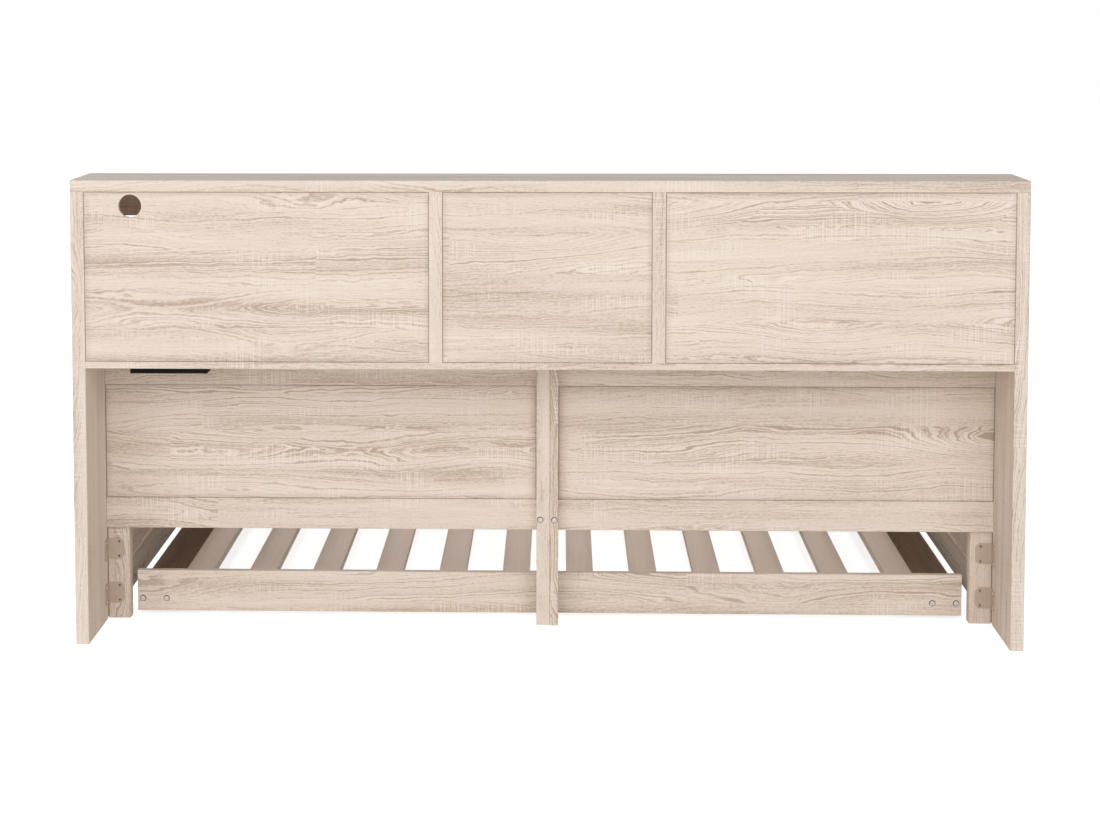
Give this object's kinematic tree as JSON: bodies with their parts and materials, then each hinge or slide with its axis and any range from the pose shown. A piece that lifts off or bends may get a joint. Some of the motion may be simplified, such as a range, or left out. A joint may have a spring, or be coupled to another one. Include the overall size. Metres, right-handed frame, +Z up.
{
  "type": "daybed with trundle",
  "caption": "Pale oak daybed with a bookcase hutch along its back, a power unit in the hutch shelf and a low slatted trundle bed on wheels that rolls out from under it.",
  "frame": {"origin": "on the floor under the middle of the whole piece", "axes": "+X along the length to the user's right when facing the open front, +Y to the back where the hutch stands, +Z up; the trundle rolls out towards -Y"},
  "size_m": [2.08, 1.321, 1.028],
  "materials": {
    "oak_laminate": "pale washed oak grain laminate on board, matt",
    "slat_wood": "plain pale sawn wood, unpolished",
    "bracket_paint": "pale beige powder coat",
    "zinc_steel": "zinc plated steel",
    "black_plastic": "matt black moulded plastic",
    "wheel_nylon": "dark grey moulded nylon"
  },
  "bodies": {
    "daybed": {"back_bottom_rail_left": "oak_laminate", "back_bottom_rail_right": "oak_laminate", "back_panel_left": "oak_laminate", "back_panel_right": "oak_laminate", "back_top_rail_left": "oak_laminate", "back_top_rail_right": "oak_laminate", "bed_slats": "slat_wood", "centre_leg_bolts": "zinc_steel", "centre_leg_narrow_strip": "oak_laminate", "centre_leg_wide_strip": "oak_laminate", "corner_brackets": "bracket_paint", "end_bottom_rail_left": "oak_laminate", "end_bottom_rail_right": "oak_laminate", "end_panel_left": "oak_laminate", "end_panel_right": "oak_laminate", "end_top_rail_left": "oak_laminate", "end_top_rail_right": "oak_laminate", "front_leg_left": "oak_laminate", "front_leg_right": "oak_laminate", "front_rail": "oak_laminate", "front_rail_bolts": "zinc_steel", "front_slat_cleat": "slat_wood", "hutch_back_centre": "oak_laminate", "hutch_back_left": "oak_laminate", "hutch_back_right": "oak_laminate", "hutch_divider_left": "oak_laminate", "hutch_divider_right": "oak_laminate", "hutch_dowels": "slat_wood", "hutch_shelf_left": "oak_laminate", "hutch_shelf_right": "oak_laminate", "hutch_side_left": "oak_laminate", "hutch_side_right": "oak_laminate", "hutch_top_left": "oak_laminate", "hutch_top_right": "oak_laminate", "hutch_valance_centre": "oak_laminate", "hutch_valance_left": "oak_laminate", "hutch_valance_right": "oak_laminate", "power_faceplate": "black_plastic", "power_housing": "black_plastic", "power_outlets": "black_plastic", "rear_leg_left": "oak_laminate", "rear_leg_right": "oak_laminate", "rear_slat_cleat": "slat_wood", "usb_module": "black_plastic"},
    "trundle": {"trundle_bolts": "zinc_steel", "trundle_front_cleat": "slat_wood", "trundle_front_panel": "oak_laminate", "trundle_rear_cleat": "slat_wood", "trundle_rear_rail": "oak_laminate", "trundle_side_board_left": "oak_laminate", "trundle_side_board_right": "oak_laminate", "trundle_slats": "slat_wood", "trundle_webs_left": "oak_laminate", "trundle_webs_right": "oak_laminate", "wheel_axles": "zinc_steel"},
    "wheel_front_left": {"wheel_front_left": "wheel_nylon"},
    "wheel_front_right": {"wheel_front_right": "wheel_nylon"},
    "wheel_rear_left": {"wheel_rear_left": "wheel_nylon"},
    "wheel_rear_right": {"wheel_rear_right": "wheel_nylon"}
  },
  "joints": [
    {"name": "trundle_roll", "type": "slide", "parent": "daybed", "child": "trundle", "axis": [0, -1, 0], "range_m": [0, 1.05]},
    {"name": "wheel_front_left_spin", "type": "hinge", "parent": "trundle", "child": "wheel_front_left", "pos_m": [-0.9092, -0.5255, 0.022], "axis": [1, 0, 0], "continuous": true},
    {"name": "wheel_front_right_spin", "type": "hinge", "parent": "trundle", "child": "wheel_front_right", "pos_m": [0.9092, -0.5255, 0.022], "axis": [1, 0, 0], "continuous": true},
    {"name": "wheel_rear_left_spin", "type": "hinge", "parent": "trundle", "child": "wheel_rear_left", "pos_m": [-0.9092, 0.2485, 0.022], "axis": [1, 0, 0], "continuous": true},
    {"name": "wheel_rear_right_spin", "type": "hinge", "parent": "trundle", "child": "wheel_rear_right", "pos_m": [0.9092, 0.2485, 0.022], "axis": [1, 0, 0], "continuous": true}
  ],
  "couplings": [
    {"joint": "wheel_front_left_spin", "follows": "trundle_roll", "rad_per_m": 45.455},
    {"joint": "wheel_front_right_spin", "follows": "trundle_roll", "rad_per_m": 45.455},
    {"joint": "wheel_rear_left_spin", "follows": "trundle_roll", "rad_per_m": 45.455},
    {"joint": "wheel_rear_right_spin", "follows": "trundle_roll", "rad_per_m": 45.455}
  ]
}
